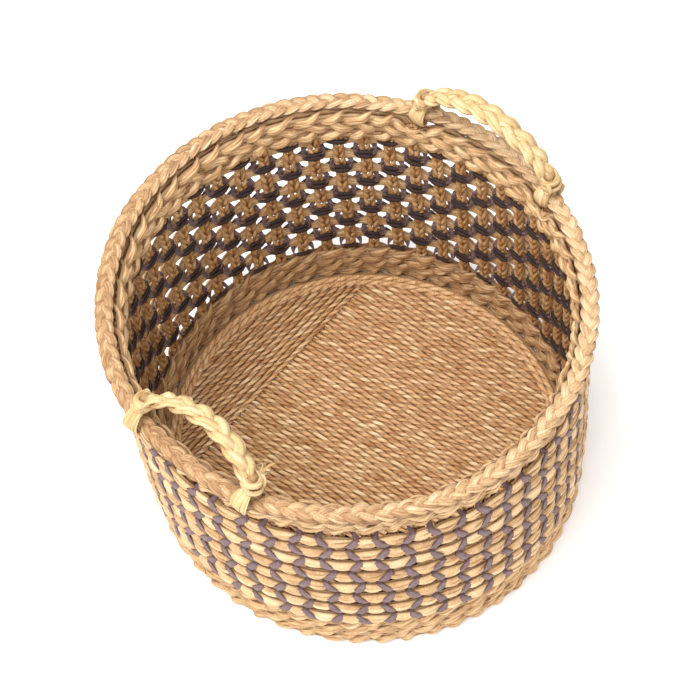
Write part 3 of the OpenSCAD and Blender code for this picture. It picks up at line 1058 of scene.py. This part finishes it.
# Leaves wound round a knot: height, half sizes along the hinge line and across it, tilt and width
KNOT_WRAPS = (
    (12.9, 7.2, 7.6, 0.12, 4.6),
    (15.4, 8.0, 8.4, -0.22, 5.2),
    (18.6, 7.6, 8.1, 0.26, 5.6),
    (21.6, 6.6, 7.2, -0.32, 5.0),
)
KNOT_WRAP_T = 2.6
# How far the wraps lean towards the middle of the grip as they rise
KNOT_LEAN = 0.45
KNOT_STEPS = 26
# Filling of a knot: its two ends inwards along the hinge line and up the handle, width and thickness
KNOT_CORE_X = (-0.5, 3.0)
KNOT_CORE_Y = (11.2, 24.0)
KNOT_CORE_SIZE = (11.0, 10.0)
# Small loop on the inner side: its middle from the knot's, half sizes, and its leaf's width and thickness
KNOT_LOOP_PLACE = (3.0, -0.5, -8.0)
KNOT_LOOP_REACH = (4.2, 5.2, 1.5)
KNOT_LOOP_SIZE = (4.2, 2.0)


def build_knot(name, spec, axes, end, node):
    """Leaves wound round the foot of the grip, crossing one another, with a small loop at the side."""
    sheaf = Sheaf(spec["seeds"]["knots"] + end)
    turn = np.linspace(0, TAU, KNOT_STEPS, endpoint=False)
    for height, half_x, half_z, tilt, width in KNOT_WRAPS:
        x = half_x * np.cos(turn)
        z = half_z * np.sin(turn)
        y = height + tilt * x * end + 0.5 * np.sin(2 * turn + height)
        path = axes.place(end * axes.reach + x - end * (height - KNOT_Z) * KNOT_LEAN, y, z)
        outward = unit(path - path.mean(0))
        side = across(path, outward, closed=True, roll=0.25 * np.sin(turn + height))
        sheaf.add(path, side, width, KNOT_WRAP_T, closed=True)
    core = axes.place(end * (axes.reach - np.linspace(*KNOT_CORE_X, 8)), np.linspace(*KNOT_CORE_Y, 8), 0)
    # The core takes painted shade, as it lies inside the wraps
    sheaf.add(core, np.broadcast_to(axes.out, core.shape), *KNOT_CORE_SIZE, section=ROUND, depth=0.5)
    loop_x, loop_y, loop_z = KNOT_LOOP_PLACE
    reach_x, reach_y, reach_z = KNOT_LOOP_REACH
    loop = axes.place(
        end * (axes.reach + loop_x) + reach_x * np.cos(turn),
        KNOT_Z + loop_y + reach_y * np.sin(turn),
        loop_z + reach_z * np.cos(turn),
    )
    sheaf.add(loop, np.broadcast_to(axes.out, loop.shape), *KNOT_LOOP_SIZE, closed=True)
    sheaf.build(f"{name}_{node}_wraps", "handle_plait", name, f"{name}_{node}")


# Leaves of a tail: place across it, width, added radius, and the angle at which it ends
TAIL_LEAVES = (
    (-3.6, 4.4, 0.0, 78),
    (-1.9, 4.8, 0.6, 92),
    (0.1, 5.0, 1.0, 86),
    (2.0, 4.8, 0.5, 95),
    (3.7, 4.2, 0.0, 80),
)
TAIL_START = -72
TAIL_STEPS = 28
TAIL_SPREAD = 0.55
TAIL_T = 1.5


def build_tails(name, spec, axes, side_sign, node):
    """Flat leaves that fan out of the knots and run round the rim plait on one side."""
    sheaf = Sheaf(spec["seeds"]["tails"] + side_sign)
    rng = sheaf.rng
    for end in (-1, 1):
        for shift, width, radius, last in TAIL_LEAVES:
            swing = np.radians(np.linspace(TAIL_START, last, TAIL_STEPS))
            spread = 1.0 + TAIL_SPREAD * np.cos(swing - 0.1) ** 2
            drift = rng.normal(0, 0.3) + 0.5 * np.sin(2.2 * swing + rng.uniform(0, TAU))
            across_tail = end * axes.reach + shift * spread + drift
            r = TAIL_R + radius + 0.5 * np.cos(swing)
            path = axes.place(across_tail, -r * np.sin(swing), side_sign * r * np.cos(swing))
            centre = axes.place(across_tail, 0, 0)
            side = across(path, unit(path - centre), 0.07 * shift + rng.normal(0, 0.08))
            sheaf.add(path, side, width * (0.85 + 0.3 * np.cos(swing)), TAIL_T)
    sheaf.build(f"{name}_{node}_leaves", "handle_plait", name, f"{name}_{node}")


FRAYED_LEAVES = 20
FRAYED_STEPS = 12
FRAYED_T = 0.9
# Where the frayed leaves leave the knot: inwards along the hinge line, and towards the basket's middle
FRAYED_INSET = 3
FRAYED_START = 4


def build_frayed_end(name, axes):
    """Loose leaf ends that curl away beside the knot."""
    sheaf = Sheaf(SEEDS["frayed_end"])
    rng = sheaf.rng
    t = np.linspace(0, 1, FRAYED_STEPS)
    for i in range(FRAYED_LEAVES):
        fan_x, fan_y = rng.normal(0, 0.42, 2)
        length = rng.uniform(12, 25)
        x = axes.reach - FRAYED_INSET + 6 * fan_x * t + 2 * np.sin(5 * t + i) * t
        y = KNOT_Z + 5.0 * t * length / 20 + 7 * fan_y * t - 5 * t**2
        z = -FRAYED_START - length * t
        path = axes.place(x, y, z)
        side = across(path, np.broadcast_to(axes.up, path.shape), roll=rng.uniform(-1, 1) + 1.2 * t)
        sheaf.add(path, side, rng.uniform(2.6, 5.2) * (1 - 0.5 * t), FRAYED_T)
    sheaf.build(f"{name}_frayed_end_leaves", "handle_plait", name, f"{name}_frayed_end")


def build_handles():
    for name, spec in HANDLES.items():
        axes = HandleAxes(spec)
        build_grip(name, spec, axes)
        build_knot(name, spec, axes, -1, "knot_1")
        build_knot(name, spec, axes, 1, "knot_2")
        build_tails(name, spec, axes, -1, "inner_tails")
        build_tails(name, spec, axes, 1, "outer_tails")
    build_frayed_end("left_handle", HandleAxes(HANDLES["left_handle"]))


# ---- Studio ------------------------------------------------------------------

CAMERA_PLACE = Vector((-0.7311, -0.5756, 1.7730))
CAMERA_TARGET = Vector((0.0487, 0.0601, 0.0440))
CAMERA_ROLL = 0.000965
CAMERA_LENS = 110.8
CAMERA_SENSOR = 36

FLOOR_HALF = 6.0
WORLD_STRENGTH = 0.88
# Point that the lamps face
LIT_POINT = Vector((0, 0, 0.13))
# Lamps: azimuth and elevation in degrees, distance and size in metres, power and colour
LAMPS = {
    "key": (152, 71, 2.0, 1.3, 50, (1.0, 0.98, 0.96)),
    "fill": (219, 32, 2.4, 1.6, 20, (1.0, 1.0, 1.0)),
}


def add_camera():
    """A long lens that looks down into the basket over its left handle."""
    data = bpy.data.cameras.new("camera")
    data.sensor_width = CAMERA_SENSOR
    data.lens = CAMERA_LENS
    camera = bpy.data.objects.new("camera", data)
    turn = (CAMERA_TARGET - CAMERA_PLACE).to_track_quat("-Z", "Y").to_matrix().to_4x4()
    camera.matrix_world = Matrix.Translation(CAMERA_PLACE) @ turn @ Matrix.Rotation(-CAMERA_ROLL, 4, "Z")
    bpy.context.scene.collection.objects.link(camera)
    bpy.context.scene.camera = camera


def add_lamp(name, azimuth, elevation, distance, size, power, colour):
    """A soft square lamp that faces the middle of the basket."""
    data = bpy.data.lights.new(name, "AREA")
    data.size = size
    data.energy = power
    data.color = colour
    lamp = bpy.data.objects.new(name, data)
    a, e = math.radians(azimuth), math.radians(elevation)
    towards_lamp = Vector((math.cos(a) * math.cos(e), math.sin(a) * math.cos(e), math.sin(e)))
    lamp.location = LIT_POINT + distance * towards_lamp
    lamp.rotation_euler = (LIT_POINT - lamp.location).to_track_quat("-Z", "Y").to_euler()
    bpy.context.scene.collection.objects.link(lamp)


def add_floor():
    mesh = bpy.data.meshes.new("studio_floor")
    corners = [(x * FLOOR_HALF, y * FLOOR_HALF, 0) for x, y in ((-1, -1), (1, -1), (1, 1), (-1, 1))]
    mesh.from_pydata(corners, [], [(0, 1, 2, 3)])
    mesh.materials.append(floor_material())
    floor = bpy.data.objects.new("studio_floor", mesh)
    bpy.context.scene.collection.objects.link(floor)


def add_studio():
    """White floor and surroundings, and the lamps."""
    add_floor()
    world = bpy.data.worlds.new("studio")
    world.use_nodes = True
    background = world.node_tree.nodes["Background"]
    background.inputs["Color"].default_value = (1, 1, 1, 1)
    background.inputs["Strength"].default_value = WORLD_STRENGTH
    bpy.context.scene.world = world
    bpy.context.scene.view_settings.view_transform = "Standard"
    for name, settings in LAMPS.items():
        add_lamp(name, *settings)


# ---- Everything --------------------------------------------------------------


def build_wall():
    build_stake_cords("stake_cords_left_plies", -1, "stake_cords_left")
    build_stake_cords("stake_cords_right_plies", 1, "stake_cords_right")
    for row in range(1, STRAW_ROWS + 1):
        build_straw_row(row)
        build_ribbon(row)
    build_bands()
    build_rim()


add_camera()
add_studio()
build_base()
build_wall()
build_handles()
